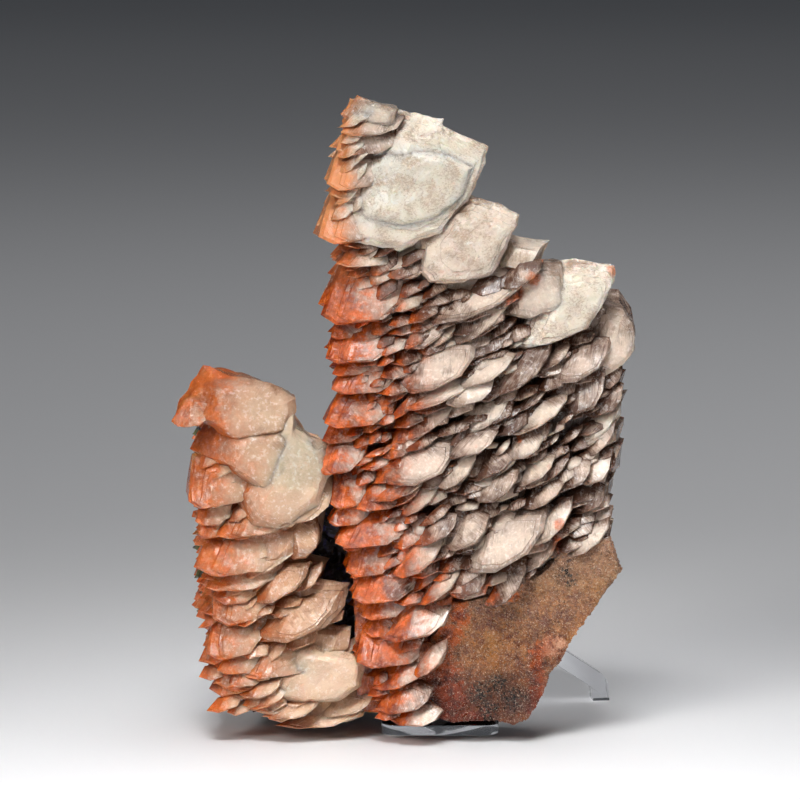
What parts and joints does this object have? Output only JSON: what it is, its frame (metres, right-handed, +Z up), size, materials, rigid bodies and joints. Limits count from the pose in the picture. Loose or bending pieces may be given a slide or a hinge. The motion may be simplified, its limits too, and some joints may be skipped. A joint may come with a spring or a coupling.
{
  "type": "calcite with hematite inclusions on a clear easel",
  "caption": "Mineral specimen: stacked flattened calcite crystals with orange hematite edges on dark rock, leaning on a small clear easel.",
  "frame": {"origin": "on the underside of the easel's base plate, below the middle of the specimen's width", "axes": "+Z up, +X to the specimen's right as seen from the front, the front looks along -Y"},
  "size_m": [0.132, 0.0687, 0.1834],
  "materials": {
    "banded_calcite": "satin, with deep orange left edges",
    "cream_calcite": "satin, cream to pale orange",
    "dark_rock": "rough, with metallic glints",
    "clear_acrylic": "clear and polished"
  },
  "bodies": {
    "root": {"calcite_tall_stack": "banded_calcite", "calcite_short_stack": "cream_calcite", "matrix_rock": "dark_rock", "easel_base": "clear_acrylic", "easel_back_rest": "clear_acrylic", "easel_leg_left": "clear_acrylic", "easel_leg_right": "clear_acrylic"}
  },
  "joints": []
}
